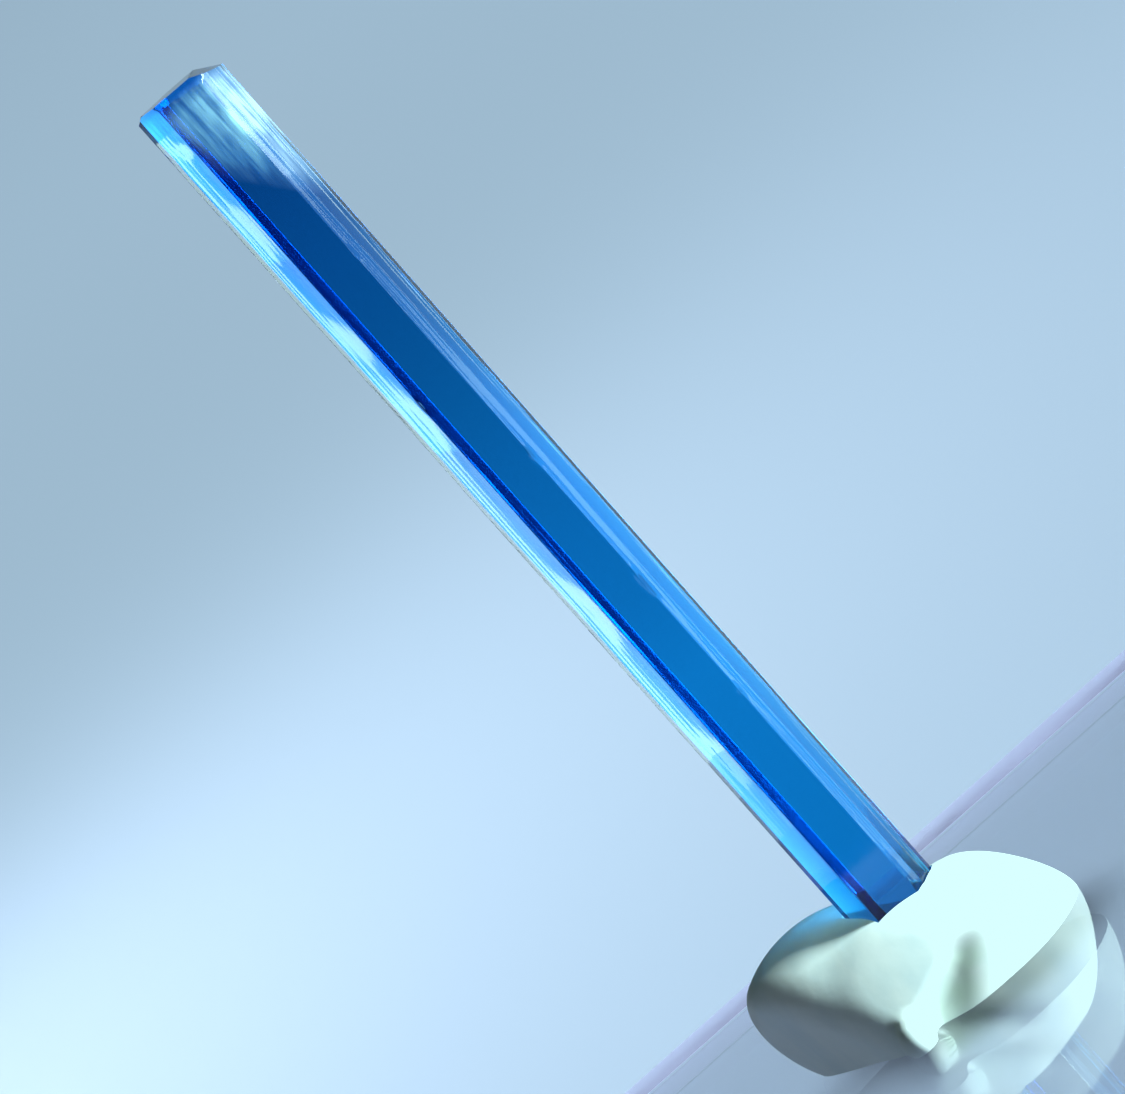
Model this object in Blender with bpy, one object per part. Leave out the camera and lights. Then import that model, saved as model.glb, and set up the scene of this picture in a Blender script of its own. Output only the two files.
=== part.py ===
"""A slender blue tourmaline prism standing in a lump of white putty on a clear acrylic base plate.

Lengths are in metres and +Z is up. The origin is the centre of the base plate's underside. The
crystal's broad front face looks along -Y, so +X is to its right.
"""

import math

import bmesh
import bpy
import numpy as np
from mathutils import Vector

MM = 0.001

# Base plate
BASE_WIDTH = 55.0 * MM
BASE_DEPTH = 55.0 * MM
BASE_THICKNESS = 4.0 * MM
BASE_CORNER_RADIUS = 1.2 * MM
BASE_EDGE_BEVEL = 0.25 * MM

# Where the crystal's axis stands on the plate
AXIS_X = 1.1 * MM
AXIS_Y = 3.1 * MM

# Crystal: heights above the plate's top, and its prism faces as (direction of the outward normal in
# degrees, distance from the axis). 270 degrees is the broad front face.
CRYSTAL_TOP = 52.0 * MM
CRYSTAL_FOOT = 1.6 * MM
CRYSTAL_TAPER = 0.02
PRISM_FACES = (
    (27, 2.03 * MM),
    (89, 2.04 * MM),
    (142, 1.71 * MM),
    (167, 2.05 * MM),
    (207, 1.85 * MM),
    (270, 2.01 * MM),
    (310, 2.26 * MM),
    (329, 2.20 * MM),
    (345, 2.26 * MM),
    (358, 2.31 * MM),
)
# Termination faces: a point on each, from the axis and down from the top, and the outward normal
TOP_FACES = (
    ((0.0, 0.0, -0.02 * MM), (0.02, -0.01, 1.0)),
    ((-1.85 * MM, 0.0, -0.06 * MM), (-0.70, 0.0, 1.0)),
    ((1.5 * MM, 0.0, -0.25 * MM), (0.42, -0.05, 1.0)),
    ((0.0, -1.72 * MM, -0.02 * MM), (0.10, -1.0, 0.80)),
)

# Putty, in millimetres from the axis and up from the plate's top: lumps as (centre, half sizes)
FIT_GAP = 0.3 * MM
HEEL = ((-4.4, 1.6, 2.4), (5.0, 3.9, 3.9))
NOSE = ((1.2, -0.6, 0.4), (5.4, 4.5, 4.5))
COLLAR = ((-1.6, -1.6, 1.4), (4.0, 3.6, 4.0))
NUB = ((-3.1, -4.0, 0.45), (0.85, 1.2, 1.0))
# Flats that fingers left, as (point, outward normal), and the wide curve that a palm left in front
WALL_FLAT = ((-5.45, -1.75, 2.8), (-0.85, -0.50, -0.157))
SHOULDER_FLAT = ((4.74, 0.0, 3.56), (0.81, 0.0, 0.58))
FRONT_CURVE = ((3.8, 17.39, -8.0), (24.0, 24.0, 24.0))
# A notch that a finger pressed beside the nub, as the ends of a round-nosed groove, and the flank of
# the lump to its right, as (point, normal out of the notch)
NOTCH_ENDS = ((-1.7, -5.1, -0.06), (0.70, -5.4, 1.14))
NOTCH_RADIUS = 1.95
NOTCH_FLANK = ((-0.09, -4.95, 0.0), (0.50, 0.58, -0.60))
LUMP_BLEND = 1.2
FLAT_BLEND = 0.9
NOTCH_BLEND = 0.5
NUB_BLEND = 0.5
PUTTY_MIDDLE = (-1.0, 0.1, 2.1)
PUTTY_REACH = 14.0
PUTTY_SUBDIVISIONS = 5
HALVINGS = 40


def clear_scene():
    for thing in list(bpy.data.objects):
        bpy.data.objects.remove(thing, do_unlink=True)


def make_material(name, colour, roughness, transmission=0.0, ior=1.5):
    material = bpy.data.materials.new(name)
    material.use_nodes = True
    shader = material.node_tree.nodes["Principled BSDF"]
    shader.inputs["Base Color"].default_value = (*colour, 1.0)
    shader.inputs["Roughness"].default_value = roughness
    shader.inputs["Transmission Weight"].default_value = transmission
    shader.inputs["IOR"].default_value = ior
    material.diffuse_color = (*colour, 1.0)
    return material


def make_object(name, bm, material):
    bmesh.ops.recalc_face_normals(bm, faces=bm.faces[:])
    mesh = bpy.data.meshes.new(name)
    bm.to_mesh(mesh)
    bm.free()
    thing = bpy.data.objects.new(name, mesh)
    bpy.context.scene.collection.objects.link(thing)
    if material:
        mesh.materials.append(material)
    return thing


# Base plate


def rounded_rectangle(width, depth, radius, steps=6):
    """Corners of a rectangle with round corners, counter-clockwise round the origin."""
    points = []
    for quarter in range(4):
        side_x = 1 if quarter in (0, 3) else -1
        side_y = 1 if quarter in (0, 1) else -1
        centre_x = side_x * (width / 2 - radius)
        centre_y = side_y * (depth / 2 - radius)
        for step in range(steps + 1):
            angle = math.radians(90 * (quarter + step / steps))
            points.append((centre_x + radius * math.cos(angle), centre_y + radius * math.sin(angle)))
    return points


def extrude_outline(points, bottom, top, top_scale=1.0):
    """A closed prism over an outline, with a flat end at each height."""
    bm = bmesh.new()
    low = [bm.verts.new((x, y, bottom)) for x, y in points]
    high = [bm.verts.new((x * top_scale, y * top_scale, top)) for x, y in points]
    bm.faces.new(low[::-1])
    bm.faces.new(high)
    for i in range(len(points)):
        j = (i + 1) % len(points)
        bm.faces.new((low[i], low[j], high[j], high[i]))
    return bm


def make_base():
    outline = rounded_rectangle(BASE_WIDTH, BASE_DEPTH, BASE_CORNER_RADIUS)
    bm = extrude_outline(outline, 0.0, BASE_THICKNESS)
    clear = make_material("acrylic", (0.93, 0.95, 1.0), 0.02, transmission=1.0, ior=1.49)
    base = make_object("base", bm, clear)
    bevel = base.modifiers.new("polished edge", "BEVEL")
    bevel.width = BASE_EDGE_BEVEL
    bevel.segments = 2
    bevel.limit_method = "ANGLE"
    bevel.angle_limit = math.radians(60)
    return base


# Crystal


def prism_corners(faces, offset=0.0):
    """Corners of the outline between the prism's faces, each face moved outwards by offset."""
    corners = []
    for i, (angle_a, distance_a) in enumerate(faces):
        angle_b, distance_b = faces[(i + 1) % len(faces)]
        a = math.radians(angle_a)
        b = math.radians(angle_b)
        reach_a = distance_a + offset
        reach_b = distance_b + offset
        turn = math.sin(b - a)
        x = (reach_a * math.sin(b) - reach_b * math.sin(a)) / turn
        y = (reach_b * math.cos(a) - reach_a * math.cos(b)) / turn
        corners.append((x, y))
    return corners


def slice_off(bm, point, normal):
    """Cuts away what lies beyond a plane and closes the cut."""
    everything = bm.verts[:] + bm.edges[:] + bm.faces[:]
    cut = bmesh.ops.bisect_plane(
        bm, geom=everything, plane_co=point, plane_no=Vector(normal).normalized(), clear_outer=True
    )
    rim = [part for part in cut["geom_cut"] if isinstance(part, bmesh.types.BMEdge)]
    bmesh.ops.edgeloop_fill(bm, edges=rim)


def make_crystal():
    length = CRYSTAL_TOP - CRYSTAL_FOOT
    foot_scale = 1 - CRYSTAL_TAPER
    foot_outline = [(x * foot_scale, y * foot_scale) for x, y in prism_corners(PRISM_FACES)]
    bm = extrude_outline(foot_outline, 0.0, length, top_scale=1 / foot_scale)
    for point, normal in TOP_FACES:
        slice_off(bm, Vector(point) + Vector((0, 0, length)), normal)
    blue = make_material("indicolite", (0.03, 0.32, 0.75), 0.05, transmission=1.0, ior=1.63)
    crystal = make_object("crystal", bm, blue)
    crystal.location = (AXIS_X, AXIS_Y, BASE_THICKNESS + CRYSTAL_FOOT)
    return crystal


# Putty


def blend_outside(a, b, width):
    """Joins two distance fields with a fillet of about this width."""
    share = np.clip(0.5 + 0.5 * (b - a) / width, 0, 1)
    return b + (a - b) * share - width * share * (1 - share)


def blend_inside(a, b, width):
    """Keeps what lies in both distance fields, with a rounded edge."""
    return -blend_outside(-a, -b, width)


def ellipsoid(points, centre, half_sizes):
    scaled = (points - np.array(centre)) / np.array(half_sizes)
    return (np.linalg.norm(scaled, axis=1) - 1) * min(half_sizes)


def half_space(points, point, normal):
    direction = np.array(normal) / np.linalg.norm(normal)
    return (points - np.array(point)) @ direction


def groove(points, start, end, radius):
    start = np.array(start)
    run = np.array(end) - start
    along = np.clip((points - start) @ run / (run @ run), 0, 1)
    return np.linalg.norm(points - start - along[:, None] * run, axis=1) - radius


def putty_field(points):
    """Signed distance, roughly, to the pressed lump: below zero inside it."""
    nose = blend_inside(ellipsoid(points, *NOSE), half_space(points, *SHOULDER_FLAT), FLAT_BLEND)
    field = blend_outside(ellipsoid(points, *HEEL), ellipsoid(points, *COLLAR), LUMP_BLEND)
    field = blend_outside(field, nose, LUMP_BLEND)
    field = blend_inside(field, half_space(points, *WALL_FLAT), FLAT_BLEND)
    field = blend_inside(field, ellipsoid(points, *FRONT_CURVE), FLAT_BLEND)
    groove_field = groove(points, *NOTCH_ENDS, NOTCH_RADIUS)
    notch = blend_inside(groove_field, half_space(points, *NOTCH_FLANK), NOTCH_BLEND)
    field = blend_inside(field, -notch, NOTCH_BLEND)
    return blend_outside(field, ellipsoid(points, *NUB), NUB_BLEND)


def surface_reach(directions):
    """How far the lump's surface is from its middle along each direction, by halving."""
    middle = np.array(PUTTY_MIDDLE)
    near = np.zeros(len(directions))
    far = np.full(len(directions), PUTTY_REACH)
    for _ in range(HALVINGS):
        half = (near + far) / 2
        inside = putty_field(middle + directions * half[:, None]) < 0
        near = np.where(inside, half, near)
        far = np.where(inside, far, half)
    return near


def make_socket():
    """The space that the crystal's foot fills, a little larger than the foot."""
    outline = prism_corners(PRISM_FACES, offset=FIT_GAP)
    bottom = BASE_THICKNESS + CRYSTAL_FOOT - FIT_GAP
    bm = extrude_outline(outline, bottom, bottom + CRYSTAL_TOP)
    socket = make_object("socket", bm, None)
    socket.location = (AXIS_X, AXIS_Y, 0.0)
    socket.hide_render = True
    socket.display_type = "WIRE"
    return socket


def make_putty():
    bm = bmesh.new()
    bmesh.ops.create_icosphere(bm, subdivisions=PUTTY_SUBDIVISIONS, radius=1.0)
    directions = np.array([vert.co.normalized() for vert in bm.verts])
    reach = surface_reach(directions)
    places = (np.array(PUTTY_MIDDLE) + directions * reach[:, None]) * MM
    for vert, place in zip(bm.verts, places):
        vert.co = place
    slice_off(bm, (0.0, 0.0, 0.0), (0.0, 0.0, -1.0))
    white = make_material("mineral tack", (0.80, 0.88, 0.86), 0.6)
    putty = make_object("putty", bm, white)
    putty.location = (AXIS_X, AXIS_Y, BASE_THICKNESS + FIT_GAP)
    putty.data.shade_smooth()
    cut = putty.modifiers.new("socket", "BOOLEAN")
    cut.operation = "DIFFERENCE"
    cut.solver = "EXACT"
    cut.object = make_socket()
    return putty


clear_scene()
make_base()
make_crystal()
make_putty()
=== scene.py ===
"""The looks of a slender blue tourmaline prism, held in white putty on a clear acrylic plate.

Lengths are in metres and +Z is up, in the CAD model's frame: the origin is the centre of the plate's
underside and the crystal's broad front face looks along -Y. The tables of the crystal's and the
putty's shapes and marks are in millimetres instead, from the crystal's axis. Their heights are from
the crystal's foot for the crystal, and from the plate's top for the putty.
"""

import math

import bmesh
import bpy
import numpy as np
from mathutils import Matrix, Vector


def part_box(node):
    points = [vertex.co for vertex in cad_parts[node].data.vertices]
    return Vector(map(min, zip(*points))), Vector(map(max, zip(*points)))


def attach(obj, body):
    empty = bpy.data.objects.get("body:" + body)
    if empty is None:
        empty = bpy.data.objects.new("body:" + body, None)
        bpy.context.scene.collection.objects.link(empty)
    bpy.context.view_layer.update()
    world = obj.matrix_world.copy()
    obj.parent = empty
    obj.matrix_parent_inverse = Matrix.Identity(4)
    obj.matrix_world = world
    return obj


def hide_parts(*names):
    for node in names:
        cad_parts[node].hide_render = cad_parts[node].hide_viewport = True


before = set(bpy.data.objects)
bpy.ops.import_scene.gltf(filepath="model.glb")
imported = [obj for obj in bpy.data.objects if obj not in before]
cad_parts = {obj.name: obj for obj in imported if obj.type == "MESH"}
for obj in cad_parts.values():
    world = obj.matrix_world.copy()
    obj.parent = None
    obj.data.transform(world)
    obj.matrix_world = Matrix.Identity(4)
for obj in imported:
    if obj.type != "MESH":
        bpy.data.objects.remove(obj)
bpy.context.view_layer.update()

MM = 0.001

# Places read from the frame
BASE_LOW, BASE_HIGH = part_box("base")
CRYSTAL_LOW, CRYSTAL_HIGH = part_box("crystal")
PLATE_TOP = BASE_HIGH.z

# Where the crystal's axis meets the plate's top
AXIS_X = 1.1 * MM
AXIS_Y = 3.1 * MM
AXIS = Vector((AXIS_X, AXIS_Y, PLATE_TOP))

# Camera: where the photograph was taken from, measured from the crystal's axis on the plate's top
CAMERA_BACK = 200.0 * MM
CAMERA_LEFT = 0.5 * MM
CAMERA_UP = 57.9 * MM
CAMERA_PITCH = 9.0
CAMERA_ROLL = 41.6
CAMERA_LENS = 150.0
CAMERA_NEAR = 0.01
CAMERA_FAR = 10.0
# Where red stops in the picture's white
WHITE_RED = 0.69

# Crystal: faces along its length as (direction of the outward normal in degrees, distance from the
# axis at the top, lean of the face in degrees, depth of its growth lines in micrometres)
SIDE_FACES = (
    (27, 2.03, 0.0, 1.5),
    (89, 2.04, 0.0, 0.3),
    (142, 1.71, 0.0, 0.8),
    (167, 2.05, 0.0, 0.5),
    (207, 1.85, 0.0, 1.2),
    (270, 2.01, 0.0, 0.3),
    (310, 2.26, 0.0, 10.0),
    (329, 2.20, 0.0, 10.0),
    (345, 2.26, 0.0, 5.0),
    (358, 2.31, 0.0, 4.0),
    (275.7, 1.70, 38.5, 0.0),
)
CRYSTAL_TAPER = 0.02
# Faces across its top, as (point from the axis and down from the top, outward normal)
TOP_FACES = (
    ((0.0, 0.0, -0.02), (0.02, -0.01, 1.0)),
    ((-1.85, 0.0, -0.06), (-0.70, 0.0, 1.0)),
    ((1.5, 0.0, -0.25), (0.42, -0.05, 1.0)),
)
# The left front face, which has gentle bulges, as (height, half length, twist in degrees)
LEFT_FRONT = 4
BULGES = (
    (48.1, 0.5, 1.3),
    (43.7, 1.5, 1.4),
    (37.3, 1.2, 1.4),
    (32.8, 1.8, 1.5),
    (21.7, 1.8, 1.6),
    (13.0, 1.7, 1.5),
)
# The part of that face which bulges, across it from its middle
BULGE_SPAN = (0.1, 1.3)
# Nicks in the front face's edges, as (direction in degrees, height, half width, half length, depth)
NICKS = (
    (299.5, 28.7, 0.10, 0.40, 0.05),
    (298.8, 21.6, 0.13, 0.55, 0.07),
    (299.3, 20.9, 0.08, 0.30, 0.05),
    (299.1, 15.1, 0.10, 0.30, 0.05),
    (242.6, 33.5, 0.06, 0.30, 0.04),
    (300.0, 40.3, 0.07, 0.25, 0.04),
)
SIDE_EDGE_SOFTNESS = 0.003
TOP_EDGE_SOFTNESS = 0.004
# Growth lines: how many there are, the half width of the strip they lie in, their widths, the width
# at which a line is as deep as its face's table says, and their weights
LINES_PER_MM = 7.0
LINES_REACH = 1.6
LINE_WIDTHS = (0.03, 0.12)
LINE_FULL_WIDTH = 0.06
LINE_WEIGHTS = (0.3, 1.0)
# How far a line wanders sideways, and how fast it wanders and fades, in radians per millimetre
LINE_DRIFT = 0.03
DRIFT_RATES = (0.1, 0.5)
FADE_RATES = (0.15, 0.9)
LINES_SEED = 11
MICROMETRE = 0.001
# The crystal's mesh: its columns, its rows, which are closer at its tip, and the rings of its cap
COLUMN_STEP = 0.035
LEAST_COLUMNS = 4
ROW_STEP = 0.2
TIP_LENGTH = 6.0
TIP_ROW_STEP = 0.1
CAP_RINGS = 12
RIM_ROUNDS = 14
# Least cosine between a direction and a face's normal, for faces that are edge-on or turned away
LEAST_FACING = 0.05
CRYSTAL_CREASE = 25

# Putty: lumps as (centre, half sizes)
HEEL = ((-4.4, 1.6, 2.4), (5.0, 3.9, 3.9))
NOSE = ((1.2, -0.6, 0.4), (5.4, 4.5, 4.5))
COLLAR = ((-1.6, -1.6, 1.4), (4.0, 3.6, 4.0))
NUB = ((-3.1, -4.0, 0.45), (0.85, 1.2, 1.0))
# Flats that fingers left, as (point, outward normal), and the wide curve that a palm left in front
WALL_FLAT = ((-5.45, -1.75, 2.8), (-0.85, -0.50, -0.157))
SHOULDER_FLAT = ((4.74, 0.0, 3.56), (0.81, 0.0, 0.58))
FRONT_CURVE = ((3.8, 17.39, -8.0), (24.0, 24.0, 24.0))
# A notch that a finger pressed beside the nub, as the ends of a round-nosed groove, and the flank of
# the lump to its right, as (point, normal out of the notch)
NOTCH_ENDS = ((-1.7, -5.1, -0.06), (0.70, -5.4, 1.14))
NOTCH_RADIUS = 1.95
NOTCH_FLANK = ((-0.09, -4.95, 0.0), (0.50, 0.58, -0.60))
LUMP_BLEND = 1.2
FLAT_BLEND = 0.9
NOTCH_BLEND = 0.5
NUB_BLEND = 0.5
PUTTY_MIDDLE = (-1.0, 0.1, 2.1)
PUTTY_REACH = 14.0
PUTTY_SUBDIVISIONS = 7
PUTTY_CREASE = 50
HALVINGS = 30
SOCKET_GAP = 0.05
SOCKET_HEIGHT = 15.0


# Helpers

# Where nearly all of a noise texture's values lie
NOISE_RANGE = (0.3, 0.7)
WHOLE = (0.0, 1.0)
REVERSED = (1.0, 0.0)
# Sockets of a Mix node that mixes colours
MIX_FACTOR = 0
MIX_FIRST = 6
MIX_SECOND = 7
MIX_RESULT = 2


def new_material(name):
    material = bpy.data.materials.new(name)
    material.use_nodes = True
    nodes = material.node_tree.nodes
    return material, nodes, material.node_tree.links, nodes["Principled BSDF"]


def new_object(name, data):
    thing = bpy.data.objects.new(name, data)
    bpy.context.scene.collection.objects.link(thing)
    return thing


def object_from_bmesh(name, bm):
    mesh = bpy.data.meshes.new(name)
    bm.to_mesh(mesh)
    bm.free()
    return new_object(name, mesh)


def object_space(nodes, links, stretch=(1.0, 1.0, 1.0)):
    """The object's own coordinates, stretched along its axes."""
    place = nodes.new("ShaderNodeTexCoord")
    mapping = nodes.new("ShaderNodeMapping")
    mapping.inputs["Scale"].default_value = stretch
    links.new(place.outputs["Object"], mapping.inputs["Vector"])
    return mapping.outputs["Vector"]


def noise(nodes, links, scale, stretch=(1.0, 1.0, 1.0), detail=3.0, roughness=0.5):
    texture = nodes.new("ShaderNodeTexNoise")
    texture.inputs["Scale"].default_value = scale
    texture.inputs["Detail"].default_value = detail
    texture.inputs["Roughness"].default_value = roughness
    links.new(object_space(nodes, links, stretch), texture.inputs["Vector"])
    return texture.outputs["Fac"]


def ranged(nodes, links, source, values, over=NOISE_RANGE):
    """Turns a value from one range into a value from another."""
    span = nodes.new("ShaderNodeMapRange")
    span.inputs["From Min"].default_value = over[0]
    span.inputs["From Max"].default_value = over[1]
    span.inputs["To Min"].default_value = values[0]
    span.inputs["To Max"].default_value = values[1]
    links.new(source, span.inputs["Value"])
    return span.outputs["Result"]


def ramp(nodes, links, source, stops):
    """Turns a value into a colour through stops of (position, colour)."""
    node = nodes.new("ShaderNodeValToRGB")
    elements = node.color_ramp.elements
    while len(elements) < len(stops):
        elements.new(0.5)
    for element, (position, colour) in zip(elements, stops):
        element.position = position
        element.color = (*colour, 1.0)
    links.new(source, node.inputs["Fac"])
    return node.outputs["Color"]


def towards_colour(nodes, links, factor, source, colour):
    """Turns a colour into another one as the factor goes from 0 to 1."""
    node = nodes.new("ShaderNodeMix")
    node.data_type = "RGBA"
    links.new(factor, node.inputs[MIX_FACTOR])
    links.new(source, node.inputs[MIX_FIRST])
    node.inputs[MIX_SECOND].default_value = (*colour, 1.0)
    return node.outputs[MIX_RESULT]


def bump(nodes, links, source, distance, strength):
    node = nodes.new("ShaderNodeBump")
    node.inputs["Distance"].default_value = distance
    node.inputs["Strength"].default_value = strength
    links.new(source, node.inputs["Height"])
    return node.outputs["Normal"]


def multiply(nodes, links, first, second):
    node = nodes.new("ShaderNodeMath")
    node.operation = "MULTIPLY"
    links.new(first, node.inputs[0])
    links.new(second, node.inputs[1])
    return node.outputs[0]


def along_direction(nodes, links, direction):
    """Distance in millimetres along a direction from the object's origin."""
    place = nodes.new("ShaderNodeTexCoord")
    dot = nodes.new("ShaderNodeVectorMath")
    dot.operation = "DOT_PRODUCT"
    dot.inputs[1].default_value = Vector(direction) / MM
    links.new(place.outputs["Object"], dot.inputs[0])
    return dot.outputs["Value"]


def spot(nodes, links, centre, half_sizes):
    """Distance from a place in millimetres on the object, 1 at the rim of an ellipsoid round it."""
    place = nodes.new("ShaderNodeTexCoord")
    offset = nodes.new("ShaderNodeMapping")
    offset.vector_type = "TEXTURE"
    offset.inputs["Location"].default_value = Vector(centre) * MM
    offset.inputs["Scale"].default_value = Vector(half_sizes) * MM
    links.new(place.outputs["Object"], offset.inputs["Vector"])
    size = nodes.new("ShaderNodeVectorMath")
    size.operation = "LENGTH"
    links.new(offset.outputs["Vector"], size.inputs[0])
    return size.outputs["Value"]


# Crystal


def outline_corners():
    """Corners of the outline between the upright faces, in millimetres."""
    faces = [face for face in SIDE_FACES if face[2] == 0.0]
    corners = []
    for (angle_a, reach_a, _, _), (angle_b, reach_b, _, _) in zip(faces, faces[1:] + faces[:1]):
        a = math.radians(angle_a)
        b = math.radians(angle_b)
        turn = math.sin(b - a)
        x = (reach_a * math.sin(b) - reach_b * math.sin(a)) / turn
        y = (reach_b * math.cos(a) - reach_a * math.cos(b)) / turn
        corners.append((x, y))
    return corners


def column_angles():
    """Directions of the mesh's columns: evenly along each face, closer near its edges."""
    corners = [np.array(corner) for corner in outline_corners()]
    angles = []
    for start, end in zip(corners, corners[1:] + corners[:1]):
        count = max(LEAST_COLUMNS, round(np.linalg.norm(end - start) / COLUMN_STEP))
        even = np.arange(count) / count
        eased = (1 - np.cos(math.pi * even)) / 2
        share = (even + eased) / 2
        points = start + share[:, None] * (end - start)
        angles.append(np.arctan2(points[:, 1], points[:, 0]))
    return np.concatenate(angles)


def growth_lines(rng, across, heights, depth):
    """Grooves along a face, each with its own width, depth, wander and comings and goings."""
    relief = np.zeros_like(across)
    for _ in range(round(2 * LINES_REACH * LINES_PER_MM)):
        centre = rng.uniform(-LINES_REACH, LINES_REACH)
        width = rng.uniform(*LINE_WIDTHS)
        weight = rng.uniform(*LINE_WEIGHTS) * width / LINE_FULL_WIDTH
        drift = LINE_DRIFT * np.sin(heights * rng.uniform(*DRIFT_RATES) + rng.uniform(0, 2 * math.pi))
        comes = 0.5 + 0.5 * np.sin(heights * rng.uniform(*FADE_RATES) + rng.uniform(0, 2 * math.pi))
        relief -= weight * comes * np.exp(-(((across - centre - drift) / width) ** 2))
    return relief * depth * MICROMETRE


def bulge_twist(heights):
    """How far the bulges turn the left front face at each height, in radians."""
    twist = np.zeros_like(heights)
    for centre, half_length, degrees in BULGES:
        twist += math.radians(degrees) * np.exp(-(((heights - centre) / half_length) ** 2))
    return twist


def nick_depth(angles, heights, reach):
    """How deep the nicks go at each point, in millimetres."""
    depth = np.zeros_like(heights)
    for direction, centre, half_width, half_length, deep in NICKS:
        across = reach * np.sin(angles - math.radians(direction)) / half_width
        along = (heights - centre) / half_length
        near = np.cos(angles - math.radians(direction)) > 0
        depth += deep * near * np.exp(-(across**2) - along**2)
    return depth


def soft_minimum(layers, softness):
    """The lowest of some arrays, with the creases between them rounded."""
    stack = np.stack(layers)
    lowest = stack.min(axis=0)
    return lowest - softness * np.log(np.exp((lowest - stack) / softness).sum(axis=0))


def side_planes(angles, heights):
    """How far each of the crystal's side faces is from its axis along a direction."""
    length = crystal_length()
    widening = 1 - CRYSTAL_TAPER * (1 - heights / length)
    reaches = []
    for direction, distance, lean, _ in SIDE_FACES:
        facing = np.maximum(np.cos(angles - math.radians(direction)), LEAST_FACING)
        slack = (length - heights) * math.tan(math.radians(lean))
        reaches.append((distance + slack) * widening / facing)
    return np.stack(reaches)


def side_reach(angles, heights):
    """How far the crystal's lined surface is from its axis, in millimetres."""
    rng = np.random.default_rng(LINES_SEED)
    plain = side_planes(angles, heights)
    reach = plain.min(axis=0)
    lined_faces = []
    for i, (direction, _, _, depth) in enumerate(SIDE_FACES):
        turn = angles - math.radians(direction)
        across = reach * np.sin(turn)
        relief = growth_lines(rng, across, heights, depth)
        if i == LEFT_FRONT:
            span = BULGE_SPAN[1] - np.maximum(across, BULGE_SPAN[0])
            relief -= np.tan(bulge_twist(heights)) * span
        lined_faces.append(plain[i] + relief / np.maximum(np.cos(turn), LEAST_FACING))
    return soft_minimum(lined_faces, SIDE_EDGE_SOFTNESS) - nick_depth(angles, heights, reach)


def crystal_length():
    return (CRYSTAL_HIGH.z - CRYSTAL_LOW.z) / MM


def top_height(x, y):
    """Height of the crystal's top above its foot, in millimetres."""
    layers = [np.full_like(x, crystal_length())]
    for (px, py, pz), (nx, ny, nz) in TOP_FACES:
        layers.append(crystal_length() + pz - (nx * (x - px) + ny * (y - py)) / nz)
    return soft_minimum(layers, TOP_EDGE_SOFTNESS)


def crystal_rows(angles):
    """Heights of the mesh's rows for each column: even below, closer up to the rim."""
    length = crystal_length()
    rim = np.full_like(angles, length)
    for _ in range(RIM_ROUNDS):
        reach = side_reach(angles, rim)
        rim = top_height(reach * np.cos(angles), reach * np.sin(angles))
    tip = length - TIP_LENGTH
    low_rows = np.linspace(0, tip, round(tip / ROW_STEP), endpoint=False)
    rows = [np.full_like(angles, height) for height in low_rows]
    count = round(TIP_LENGTH / TIP_ROW_STEP)
    for share in np.linspace(0, 1, count + 1):
        rows.append(tip + (rim - tip) * share)
    return np.stack(rows)


def grid_faces(rows, columns):
    """Quads of a tube of rows, each closed round its columns."""
    faces = []
    for row in range(rows - 1):
        for i in range(columns):
            j = (i + 1) % columns
            low = row * columns
            high = low + columns
            faces.append((low + i, low + j, high + j, high + i))
    return faces


def crystal_sheet():
    """Rows of the crystal's points: up its sides and then inwards over its top."""
    angles = column_angles()
    heights = crystal_rows(angles)
    reach = side_reach(np.broadcast_to(angles, heights.shape), heights)
    x = reach * np.cos(angles)
    y = reach * np.sin(angles)
    layers = [np.stack((x, y, heights), axis=-1)]
    for ring in range(1, CAP_RINGS):
        share = 1 - ring / CAP_RINGS
        cap_x = x[-1] * share
        cap_y = y[-1] * share
        layers.append(np.stack((cap_x, cap_y, top_height(cap_x, cap_y)), axis=-1)[None])
    return np.concatenate(layers)


def make_crystal():
    sheet = crystal_sheet()
    rows, columns, _ = sheet.shape
    faces = grid_faces(rows, columns)
    faces.append(tuple(range(columns))[::-1])
    faces.append(tuple((rows - 1) * columns + i for i in range(columns)))
    mesh = bpy.data.meshes.new("crystal_striated")
    points = sheet.reshape(-1, 3).tolist()
    mesh.from_pydata([(MM * x, MM * y, MM * z) for x, y, z in points], [], faces)
    crystal = new_object("crystal_striated", mesh)
    crystal.location = (AXIS.x, AXIS.y, CRYSTAL_LOW.z)
    mesh.shade_smooth()
    mesh.set_sharp_from_angle(angle=math.radians(CRYSTAL_CREASE))
    mesh.materials.append(tourmaline_material())
    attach(crystal, "root")
    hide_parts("crystal")
    return crystal


# The veil of scratches over the top's right corner: where it comes in across the crystal and how strong
# it is on either side, the diagonal along which it comes in from below, and where it ends at the top
VEIL_ACROSS = (-0.8, 1.6)
VEIL_AMOUNTS = (0.06, 0.22)
VEIL_DIAGONAL = (0.776, 0, 0.63)
VEIL_FADE_IN = (28.4, 31.0)
VEIL_TOP = (49.4, 50.2)
# Its streaks and patches, as noises of (scale, stretch, detail, roughness), and how much they change it
VEIL_STREAKS = (5000.0, (1.0, 1.0, 0.06), 4.0, 0.6)
VEIL_STREAK_GAINS = (0.4, 1.6)
VEIL_PATCHES = (1400.0, (1.0, 1.0, 0.3), 2.0, 0.5)
VEIL_PATCH_GAINS = (0.5, 1.4)
VEIL_NOISE_RANGE = (0.35, 0.65)
# A whitish bruise in it, as its place, its half sizes, how much stronger it is and its soft rim
BRUISE_PLACE = (1.65, -1.0, 47.6)
BRUISE_SIZE = (0.7, 2.0, 1.1)
BRUISE_GAINS = (2.6, 1.0)
BRUISE_RIM = (0.5, 1.2)
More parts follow.
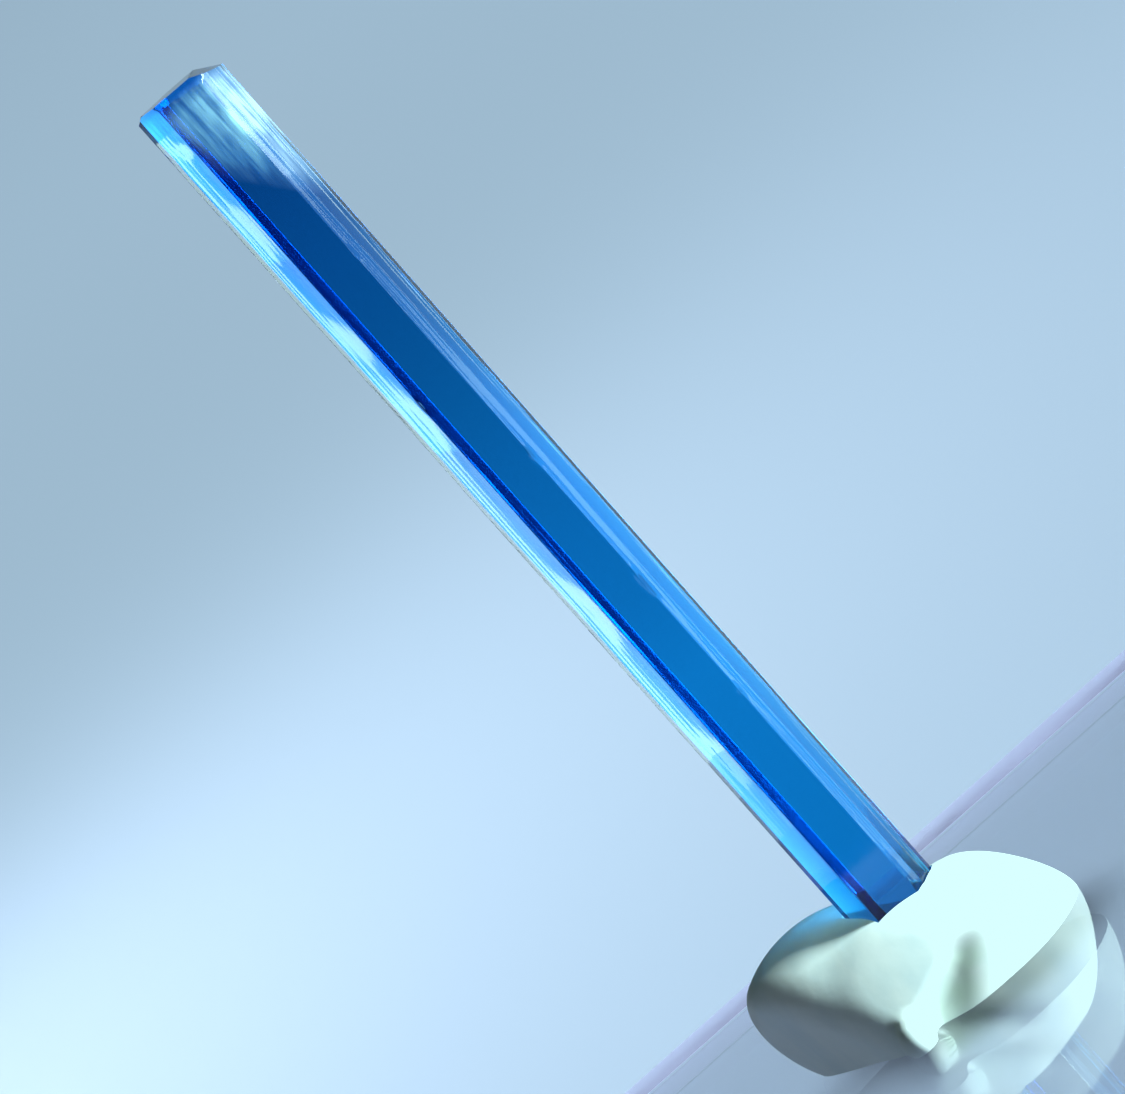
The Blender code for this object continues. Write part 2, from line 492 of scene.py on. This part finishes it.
# Colour of the scratched surface, and how worn it is where that colour comes in
SCRATCH_COLOUR = (0.62, 0.80, 1.0)
SCRATCH_COMES_IN = (0.0, 0.04)

TOURMALINE_IOR = 1.63
TOURMALINE_GRAIN = (3000.0, (1.0, 1.0, 0.02))
TOURMALINE_ROUGHNESS = (0.02, 0.07)
ABSORBED_COLOUR = (0.038, 0.76, 0.93)
ABSORBED_DENSITY = 1300.0
# Tint of the crystal along its length, over the colour that its body absorbs
ZONES = (
    (0.00, (1.0, 1.0, 1.0)),
    (0.33, (1.0, 1.0, 1.0)),
    (0.42, (0.9, 0.83, 0.86)),
    (0.64, (0.8, 0.70, 0.78)),
    (0.80, (0.7, 0.55, 0.72)),
    (0.90, (0.6, 0.42, 0.60)),
)


def worn_corner(nodes, links):
    """How worn the surface is: a veil of scratches over the top's right corner, in long streaks."""
    rightward = along_direction(nodes, links, (1, 0, 0))
    diagonal = along_direction(nodes, links, VEIL_DIAGONAL)
    height = along_direction(nodes, links, (0, 0, 1))
    bruise = spot(nodes, links, BRUISE_PLACE, BRUISE_SIZE)
    patches = noise(nodes, links, *VEIL_PATCHES)
    streaks = noise(nodes, links, *VEIL_STREAKS)
    factors = (
        ranged(nodes, links, diagonal, WHOLE, VEIL_FADE_IN),
        ranged(nodes, links, height, REVERSED, VEIL_TOP),
        ranged(nodes, links, bruise, BRUISE_GAINS, BRUISE_RIM),
        ranged(nodes, links, patches, VEIL_PATCH_GAINS, VEIL_NOISE_RANGE),
        ranged(nodes, links, streaks, VEIL_STREAK_GAINS, VEIL_NOISE_RANGE),
    )
    amount = ranged(nodes, links, rightward, VEIL_AMOUNTS, VEIL_ACROSS)
    for factor in factors:
        amount = multiply(nodes, links, amount, factor)
    return amount


def tourmaline_material():
    material, nodes, links, shader = new_material("tourmaline")
    shader.inputs["IOR"].default_value = TOURMALINE_IOR
    worn = worn_corner(nodes, links)
    links.new(ranged(nodes, links, worn, REVERSED, WHOLE), shader.inputs["Transmission Weight"])
    height = along_direction(nodes, links, (0, 0, 1))
    zones = ramp(nodes, links, ranged(nodes, links, height, WHOLE, (0.0, crystal_length())), ZONES)
    scratched = ranged(nodes, links, worn, WHOLE, SCRATCH_COMES_IN)
    colour = towards_colour(nodes, links, scratched, zones, SCRATCH_COLOUR)
    links.new(colour, shader.inputs["Base Color"])
    grain = noise(nodes, links, *TOURMALINE_GRAIN)
    links.new(ranged(nodes, links, grain, TOURMALINE_ROUGHNESS), shader.inputs["Roughness"])
    absorb = nodes.new("ShaderNodeVolumeAbsorption")
    absorb.inputs["Color"].default_value = (*ABSORBED_COLOUR, 1.0)
    absorb.inputs["Density"].default_value = ABSORBED_DENSITY
    links.new(absorb.outputs["Volume"], nodes["Material Output"].inputs["Volume"])
    return material


# Putty


def blend_outside(a, b, width):
    """Joins two distance fields with a fillet of about this width."""
    share = np.clip(0.5 + 0.5 * (b - a) / width, 0, 1)
    return b + (a - b) * share - width * share * (1 - share)


def blend_inside(a, b, width):
    """Keeps what lies in both distance fields, with a rounded edge."""
    return -blend_outside(-a, -b, width)


def ellipsoid(points, centre, half_sizes):
    scaled = (points - np.array(centre)) / np.array(half_sizes)
    return (np.linalg.norm(scaled, axis=1) - 1) * min(half_sizes)


def half_space(points, point, normal):
    direction = np.array(normal) / np.linalg.norm(normal)
    return (points - np.array(point)) @ direction


def groove(points, start, end, radius):
    """A straight bar with round ends, which presses a groove."""
    start = np.array(start)
    run = np.array(end) - start
    along = np.clip((points - start) @ run / (run @ run), 0, 1)
    return np.linalg.norm(points - start - along[:, None] * run, axis=1) - radius


def putty_field(points):
    """Signed distance, roughly, to the pressed lump: below zero inside it."""
    nose = blend_inside(ellipsoid(points, *NOSE), half_space(points, *SHOULDER_FLAT), FLAT_BLEND)
    field = blend_outside(ellipsoid(points, *HEEL), ellipsoid(points, *COLLAR), LUMP_BLEND)
    field = blend_outside(field, nose, LUMP_BLEND)
    field = blend_inside(field, half_space(points, *WALL_FLAT), FLAT_BLEND)
    field = blend_inside(field, ellipsoid(points, *FRONT_CURVE), FLAT_BLEND)
    groove_field = groove(points, *NOTCH_ENDS, NOTCH_RADIUS)
    notch = blend_inside(groove_field, half_space(points, *NOTCH_FLANK), NOTCH_BLEND)
    field = blend_inside(field, -notch, NOTCH_BLEND)
    return blend_outside(field, ellipsoid(points, *NUB), NUB_BLEND)


def surface_reach(directions):
    """How far the lump's surface is from its middle along each direction, by halving."""
    middle = np.array(PUTTY_MIDDLE)
    near = np.zeros(len(directions))
    far = np.full(len(directions), PUTTY_REACH)
    for _ in range(HALVINGS):
        half = (near + far) / 2
        inside = putty_field(middle + directions * half[:, None]) < 0
        near = np.where(inside, half, near)
        far = np.where(inside, far, half)
    return near


def make_socket():
    """The space that the crystal's foot fills."""
    foot = (CRYSTAL_LOW.z - PLATE_TOP) / MM - SOCKET_GAP
    outline = [Vector(corner) * (1 + SOCKET_GAP / 2) for corner in outline_corners()]
    bm = bmesh.new()
    bottom = [bm.verts.new((x * MM, y * MM, foot * MM)) for x, y in outline]
    top = [bm.verts.new((x * MM, y * MM, (foot + SOCKET_HEIGHT) * MM)) for x, y in outline]
    bm.faces.new(bottom[::-1])
    bm.faces.new(top)
    for i in range(len(outline)):
        j = (i + 1) % len(outline)
        bm.faces.new((bottom[i], bottom[j], top[j], top[i]))
    bmesh.ops.recalc_face_normals(bm, faces=bm.faces[:])
    return object_from_bmesh("socket_cutter", bm)


def apply_modifiers(thing):
    """Replaces the object's mesh by its evaluated one."""
    graph = bpy.context.evaluated_depsgraph_get()
    made = bpy.data.meshes.new_from_object(thing.evaluated_get(graph))
    thing.modifiers.clear()
    thing.data = made


def sit_flat(bm):
    """Cuts the lump off where it sits on the plate."""
    everything = bm.verts[:] + bm.edges[:] + bm.faces[:]
    cut = bmesh.ops.bisect_plane(bm, geom=everything, plane_no=(0, 0, 1), clear_inner=True)
    rim = [part for part in cut["geom_cut"] if isinstance(part, bmesh.types.BMEdge)]
    bmesh.ops.edgeloop_fill(bm, edges=rim)
    bmesh.ops.recalc_face_normals(bm, faces=bm.faces[:])


def make_putty():
    bm = bmesh.new()
    bmesh.ops.create_icosphere(bm, subdivisions=PUTTY_SUBDIVISIONS, radius=1.0)
    directions = np.array([vert.co.normalized() for vert in bm.verts])
    reach = surface_reach(directions)
    places = (np.array(PUTTY_MIDDLE) + directions * reach[:, None]) * MM
    for vert, place in zip(bm.verts, places):
        vert.co = place
    sit_flat(bm)
    putty = object_from_bmesh("putty_pressed", bm)
    socket = make_socket()
    cut = putty.modifiers.new("socket", "BOOLEAN")
    cut.operation = "DIFFERENCE"
    cut.object = socket
    apply_modifiers(putty)
    bpy.data.objects.remove(socket, do_unlink=True)
    putty.location = AXIS
    putty.data.shade_smooth()
    putty.data.set_sharp_from_angle(angle=math.radians(PUTTY_CREASE))
    putty.data.materials.clear()
    putty.data.materials.append(putty_material())
    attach(putty, "root")
    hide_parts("putty")
    return putty


# Painted shade in the notch beside the nub, a greyish green darkening, as places and half sizes, its
# soft rims, and the noise that breaks it up
NOTCH_SHADE_SPOTS = (
    ((-1.6, -4.0, 0.75), (1.2, 1.2, 0.75)),
    ((-0.5, -4.2, 0.95), (1.1, 1.2, 1.0)),
    ((0.75, -4.1, 1.75), (1.0, 1.2, 0.6)),
)
NOTCH_SHADE_RIM = (0.35, 1.15)
NOTCH_SHADE_SCALE = 700.0
NOTCH_SHADE_DETAIL = 4.0
NOTCH_SHADE_GAINS = (0.6, 1.3)
NOTCH_SHADE_COLOUR = (0.73, 0.79, 0.70)
# The kneaded putty's smears, their colours and their roughness, and its grain
PUTTY_SMEAR = (450.0, (1.0, 1.0, 0.35))
PUTTY_COLOURS = ((0.35, (0.74, 0.78, 0.78)), (0.6, (0.86, 0.86, 0.83)))
PUTTY_ROUGHNESS = (0.5, 0.65)
PUTTY_GRAIN_SCALE = 900.0
PUTTY_GRAIN_DETAIL = 6.0
PUTTY_GRAIN_DEPTH = 0.05 * MM
PUTTY_GRAIN_STRENGTH = 0.3


def painted_notch_shade(nodes, links):
    """How much painted shade darkens the notch: soft spots, broken up by noise."""
    out_of_shade = None
    for centre, half_sizes in NOTCH_SHADE_SPOTS:
        outside = ranged(nodes, links, spot(nodes, links, centre, half_sizes), WHOLE, NOTCH_SHADE_RIM)
        out_of_shade = multiply(nodes, links, out_of_shade, outside) if out_of_shade else outside
    in_shade = ranged(nodes, links, out_of_shade, REVERSED, WHOLE)
    patches = noise(nodes, links, NOTCH_SHADE_SCALE, detail=NOTCH_SHADE_DETAIL)
    return multiply(nodes, links, in_shade, ranged(nodes, links, patches, NOTCH_SHADE_GAINS))


def putty_material():
    material, nodes, links, shader = new_material("putty")
    smear = noise(nodes, links, *PUTTY_SMEAR)
    white = ramp(nodes, links, smear, PUTTY_COLOURS)
    # Painted shade: the putty's colour is darkened towards a greyish green in the notch beside the nub
    colour = towards_colour(nodes, links, painted_notch_shade(nodes, links), white, NOTCH_SHADE_COLOUR)
    links.new(colour, shader.inputs["Base Color"])
    links.new(ranged(nodes, links, smear, PUTTY_ROUGHNESS), shader.inputs["Roughness"])
    grain = noise(nodes, links, PUTTY_GRAIN_SCALE, detail=PUTTY_GRAIN_DETAIL)
    dents = bump(nodes, links, grain, PUTTY_GRAIN_DEPTH, PUTTY_GRAIN_STRENGTH)
    links.new(dents, shader.inputs["Normal"])
    return material


# Plate

PLATE_CORNER_RADIUS = 1.2 * MM
PLATE_CORNER_STEPS = 10
PLATE_EDGE_BEVEL = 0.25 * MM
PLATE_EDGE_STEPS = 4
PLATE_CREASE = 30
# An edge between faces that turn by more than this, in radians, is part of the rims
LEAST_RIM_TURN = 1.0
# The z of a face's normal above which it is the flat top or underside, and below which it is a side
FLAT_FACE = 0.99
SIDE_FACE = 0.5
ACRYLIC_IOR = 1.49
ACRYLIC_COAT = 0.3
HAZE_SCALE = 120.0
# The polished faces and the satin sides, as (material name, tint, roughness, glow). The glow stands for
# the light that the acrylic gathers and lets out at its sides.
POLISHED = ("acrylic", (0.97, 0.98, 1.0), 0.03, 0.0)
SATIN = ("acrylic_satin_edge", (1.0, 0.88, 1.0), 0.4, 0.45)
GLOW_COLOUR = (0.82, 0.60, 1.0)


def rise(edge):
    """How much higher one end of an edge is than the other."""
    return abs(edge.verts[0].co.z - edge.verts[1].co.z)


def plate_mesh():
    """A slab with rounded upright corners and a small bevel all round its rims."""
    width = BASE_HIGH.x - BASE_LOW.x
    depth = BASE_HIGH.y - BASE_LOW.y
    bm = bmesh.new()
    bmesh.ops.create_cube(bm, size=1.0)
    bmesh.ops.scale(bm, vec=(width, depth, PLATE_TOP), verts=bm.verts[:])
    bmesh.ops.translate(bm, vec=(0, 0, PLATE_TOP / 2), verts=bm.verts[:])
    upright = [edge for edge in bm.edges if rise(edge) > PLATE_TOP / 2]
    bmesh.ops.bevel(
        bm,
        geom=upright,
        offset=PLATE_CORNER_RADIUS,
        segments=PLATE_CORNER_STEPS,
        affect="EDGES",
        profile=0.5,
    )
    level = [edge for edge in bm.edges if rise(edge) < PLATE_TOP / 2]
    rims = [edge for edge in level if edge.calc_face_angle(0) > LEAST_RIM_TURN]
    bmesh.ops.bevel(
        bm,
        geom=rims,
        offset=PLATE_EDGE_BEVEL,
        segments=PLATE_EDGE_STEPS,
        affect="EDGES",
        profile=0.5,
    )
    return bm


def make_plate():
    plate = object_from_bmesh("acrylic_plate", plate_mesh())
    plate.data.shade_smooth()
    plate.data.set_sharp_from_angle(angle=math.radians(PLATE_CREASE))
    plate.data.materials.append(acrylic_material(*POLISHED))
    plate.data.materials.append(acrylic_material(*SATIN))
    for face in plate.data.polygons:
        face.material_index = 1 if abs(face.normal.z) < SIDE_FACE else 0
        face.use_smooth = abs(face.normal.z) < FLAT_FACE
    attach(plate, "root")
    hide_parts("base")
    return plate


def acrylic_material(name, tint, rough, glow):
    material, nodes, links, shader = new_material(name)
    shader.inputs["Transmission Weight"].default_value = 1.0
    shader.inputs["IOR"].default_value = ACRYLIC_IOR
    shader.inputs["Base Color"].default_value = (*tint, 1.0)
    shader.inputs["Coat Weight"].default_value = ACRYLIC_COAT
    shader.inputs["Emission Color"].default_value = (*GLOW_COLOUR, 1.0)
    shader.inputs["Emission Strength"].default_value = glow
    haze = noise(nodes, links, HAZE_SCALE)
    links.new(ranged(nodes, links, haze, (rough / 2, rough)), shader.inputs["Roughness"])
    return material


# Stage

FLOOR_DROP = 0.05 * MM
# Radii of the floor's inner rings, the last where it starts to curve up, and the curve's own radius
FLOOR_RINGS = (0.3, 0.7, 1.2)
FLOOR_CURVE = 0.8
FLOOR_CURVE_STEPS = 12
FLOOR_SIDES = 96
FLOOR_COLOUR = (0.72, 0.72, 0.92)
FLOOR_ROUGHNESS = 0.9
FLOOR_GLOSS = 0.1
# A near-black sheet of painted shade on the floor before the plate, standing for the shaded floor that
# the crystal mirrors, from its near edge out as (reach from the axis, height), and the bearings that it
# covers in degrees
SHADE_SHEET_PROFILE = ((0.045, 0.5 * MM), (1.2, 0.5 * MM), (1.2, 0.06))
SHADE_SHEET_START = 152
SHADE_SHEET_SPREAD = 56
SHADE_SHEET_STEPS = 12
SHADE_SHEET_COLOUR = (0.01, 0.01, 0.01)


def plain_material(name, colour, roughness, gloss):
    material, _, _, shader = new_material(name)
    shader.inputs["Base Color"].default_value = (*colour, 1.0)
    shader.inputs["Roughness"].default_value = roughness
    shader.inputs["Specular IOR Level"].default_value = gloss
    return material


def floor_profile():
    """The floor from near its centre out and up, as (reach, height)."""
    profile = [(reach, -FLOOR_DROP) for reach in FLOOR_RINGS]
    for step in range(1, FLOOR_CURVE_STEPS + 1):
        angle = math.radians(90 * step / FLOOR_CURVE_STEPS)
        reach = FLOOR_RINGS[-1] + FLOOR_CURVE * math.sin(angle)
        profile.append((reach, FLOOR_CURVE * (1 - math.cos(angle)) - FLOOR_DROP))
    return profile


def make_floor():
    """A pale floor that curves up into a low wall all round."""
    bm = bmesh.new()
    centre = bm.verts.new((0, 0, -FLOOR_DROP))
    rings = []
    for reach, height in floor_profile():
        ring = []
        for i in range(FLOOR_SIDES):
            angle = 2 * math.pi * i / FLOOR_SIDES
            ring.append(bm.verts.new((reach * math.cos(angle), reach * math.sin(angle), height)))
        rings.append(ring)
    for i in range(FLOOR_SIDES):
        j = (i + 1) % FLOOR_SIDES
        bm.faces.new((centre, rings[0][i], rings[0][j]))
        for inner, outer in zip(rings, rings[1:]):
            bm.faces.new((inner[i], outer[i], outer[j], inner[j]))
    floor = object_from_bmesh("floor", bm)
    floor.data.shade_smooth()
    floor.data.materials.append(plain_material("floor", FLOOR_COLOUR, FLOOR_ROUGHNESS, FLOOR_GLOSS))
    floor.visible_diffuse = False
    return floor


def make_shade_sheet():
    """A near-black sheet of painted shade on the floor before the plate, turned up far off, for the
    crystal to mirror.
    """
    bm = bmesh.new()
    columns = []
    for i in range(SHADE_SHEET_STEPS + 1):
        away = bearing_vector(SHADE_SHEET_START + SHADE_SHEET_SPREAD * i / SHADE_SHEET_STEPS)
        column = []
        for reach, height in SHADE_SHEET_PROFILE:
            column.append(bm.verts.new((AXIS.x + away.x * reach, AXIS.y + away.y * reach, height)))
        columns.append(column)
    for left, right in zip(columns, columns[1:]):
        for near in range(len(SHADE_SHEET_PROFILE) - 1):
            bm.faces.new((left[near], right[near], right[near + 1], left[near + 1]))
    shade_sheet = object_from_bmesh("painted_shade_sheet", bm)
    # Painted shade: near black, seen only in mirrors and through the crystal, not by the camera,
    # diffuse light or shadows
    shade_sheet.data.materials.append(plain_material("painted shade sheet", SHADE_SHEET_COLOUR, 1.0, 0.0))
    shade_sheet.visible_camera = False
    shade_sheet.visible_diffuse = False
    shade_sheet.visible_shadow = False


# Lights

WHITE = (1.0, 1.0, 1.0)
ROOM_COLOUR = (0.95, 0.92, 0.84)
ROOM_STRENGTH = 0.08
# The key light: its bearing and elevation in degrees, how far it is from what it is aimed at, how high
# that is over the plate, its size and radiance, and the radiance and colour of what comes through the
# crystal
KEY_BEARING = 116
KEY_ELEVATION = 17
KEY_DISTANCE = 0.45
KEY_AIM = 5 * MM
KEY_SIZE = (0.08, 0.08)
KEY_RADIANCE = 295.0
THROUGH_RADIANCE = 30.0
THROUGH_COLOUR = (0.8, 0.9, 0.8)
# Lights of the floor alone: one overhead, and a wash on the left
OVERHEAD_SPREAD = 50
OVERHEAD_TILT = -6
OVERHEAD_STRENGTH = 1.95
WASH_PLACE = (-0.155, 0.14, 0.12)
WASH_SIZE = (0.20, 0.20)
WASH_RADIANCE = 2.35
WASH_COLOUR = (1.0, 0.90, 0.95)
# Panels that only the crystal sees, as (name, foot of the panel's view line from the axis, bearing,
# width in degrees, bottom and top height over the plate, radiance, colour)
PANELS = (
    ("behind left", (0.5, 2.0), -26, 18, 0.3, 62, 0.4, WHITE),
    ("left wide", (-0.8, 1.0), -45, 15, 0.3, 62, 0.22, WHITE),
    ("left strip", (-2.0, -1.0), -50.8, 3.0, 11.0, 50, 3.6, WHITE),
    ("left strip end", (-2.0, -1.0), -50.8, 3.0, 9.0, 11.0, 1.6, WHITE),
    ("left strip foot", (-2.0, -1.0), -50.8, 3.0, 6.0, 9.0, 0.8, WHITE),
    ("left mirror", (-2.0, -1.0), -56, 4, 6.0, 50, 0.7, WHITE),
    ("behind right low", (1.5, 1.5), 54, 18, 0.3, 30, 1.1, WHITE),
    ("behind right middle", (1.5, 1.5), 54, 18, 30, 42, 1.8, WHITE),
    ("behind right high", (1.5, 1.5), 54, 18, 42, 62, 2.6, WHITE),
    ("right thin", (2.3, 0.0), 85, 8, 0.3, 62, 2.0, WHITE),
    ("right low", (1.6, -1.6), 100, 5, 0.3, 45, 2.4, WHITE),
    ("right high", (1.6, -1.6), 98, 12, 45, 62, 5.0, WHITE),
    ("front left", (-2.2, -0.5), -145, 12, 0.3, 62, 15.0, (1.1, 2.1, 1.6)),
)
PANEL_DISTANCE = 18.0
# A panel at a bearing below this is in front: it is seen through the crystal, but not mirrored on it
FRONT_BEARING = -90


def make_world():
    world = bpy.data.worlds.new("dim room")
    bpy.context.scene.world = world
    world.use_nodes = True
    background = world.node_tree.nodes["Background"]
    background.inputs["Color"].default_value = (*ROOM_COLOUR, 1.0)
    background.inputs["Strength"].default_value = ROOM_STRENGTH


def group_of(name, things):
    group = bpy.data.collections.new(name)
    for thing in things:
        group.objects.link(thing)
    return group


def only_for(lamp, things, shaded_by=None):
    """Makes a light shine on some objects only, with shadows from some objects only."""
    lamp.light_linking.receiver_collection = group_of(lamp.name + " receivers", things)
    if shaded_by:
        lamp.light_linking.blocker_collection = group_of(lamp.name + " blockers", shaded_by)


def area_light(name, place, facing, size, radiance, colour):
    """A rectangular light at a place that shines along a direction."""
    data = bpy.data.lights.new(name, "AREA")
    data.shape = "RECTANGLE"
    data.size, data.size_y = size
    data.energy = radiance * math.pi * size[0] * size[1]
    data.color = colour
    lamp = new_object(name, data)
    lamp.location = place
    lamp.rotation_euler = (-Vector(facing)).to_track_quat("Z", "Y").to_euler()
    lamp.visible_camera = False
    return lamp


def bearing_vector(bearing, elevation=0.0):
    """Bearing 0 is behind the crystal and 90 to its right."""
    b = math.radians(bearing)
    e = math.radians(elevation)
    return Vector((math.sin(b) * math.cos(e), math.cos(b) * math.cos(e), math.sin(e)))


def make_key(crystal, putty):
    """The key light, in two: what strikes the pieces, and what passes through the crystal."""
    towards = bearing_vector(KEY_BEARING, KEY_ELEVATION)
    place = AXIS + Vector((0, 0, KEY_AIM)) + towards * KEY_DISTANCE
    key = area_light("key", place, -towards, KEY_SIZE, KEY_RADIANCE, WHITE)
    key.visible_transmission = False
    only_for(key, (crystal, putty), shaded_by=(crystal, putty))
    through = area_light(
        "key through the crystal", place, -towards, KEY_SIZE, THROUGH_RADIANCE, THROUGH_COLOUR
    )
    only_for(through, (putty,), shaded_by=(putty,))


def make_floor_lights(floor, putty):
    overhead = new_object("overhead", bpy.data.lights.new("overhead", "SUN"))
    overhead.data.angle = math.radians(OVERHEAD_SPREAD)
    overhead.data.energy = OVERHEAD_STRENGTH
    overhead.rotation_euler = (0, math.radians(OVERHEAD_TILT), 0)
    only_for(overhead, (floor,), shaded_by=(putty,))
    down = (0.0, 0.0, -1.0)
    wash = area_light("left wash", WASH_PLACE, down, WASH_SIZE, WASH_RADIANCE, WASH_COLOUR)
    only_for(wash, (floor,), shaded_by=(putty,))


def make_panels(crystal):
    for name, foot, bearing, width, low, high, radiance, colour in PANELS:
        away = bearing_vector(bearing)
        place = AXIS + (Vector((*foot, (low + high) / 2)) + away * PANEL_DISTANCE) * MM
        size = (2 * PANEL_DISTANCE * math.tan(math.radians(width / 2)) * MM, (high - low) * MM)
        panel = area_light(name, place, -away, size, radiance, colour)
        only_for(panel, (crystal,))
        panel.visible_glossy = bearing > FRONT_BEARING


# Camera


def set_white_balance():
    """The photograph's cool white: red stops short of green and blue where the picture is white."""
    view = bpy.context.scene.view_settings
    view.view_transform = "Standard"
    view.use_curve_mapping = True
    red = view.curve_mapping.curves[0]
    red.points[-1].location = (1.0, WHITE_RED)
    view.curve_mapping.extend = "HORIZONTAL"
    view.curve_mapping.update()


def make_camera():
    data = bpy.data.cameras.new("camera")
    camera = new_object("camera", data)
    data.lens = CAMERA_LENS
    data.clip_start = CAMERA_NEAR
    data.clip_end = CAMERA_FAR
    level = Matrix.Rotation(math.radians(90 - CAMERA_PITCH), 4, "X")
    roll = Matrix.Rotation(math.radians(-CAMERA_ROLL), 4, "Z")
    place = Matrix.Translation(AXIS + Vector((-CAMERA_LEFT, -CAMERA_BACK, CAMERA_UP)))
    camera.matrix_world = place @ level @ roll
    bpy.context.scene.camera = camera


set_white_balance()
make_camera()
make_world()
make_shade_sheet()
make_plate()
floor_piece = make_floor()
crystal_piece = make_crystal()
putty_piece = make_putty()
make_key(crystal_piece, putty_piece)
make_floor_lights(floor_piece, putty_piece)
make_panels(crystal_piece)
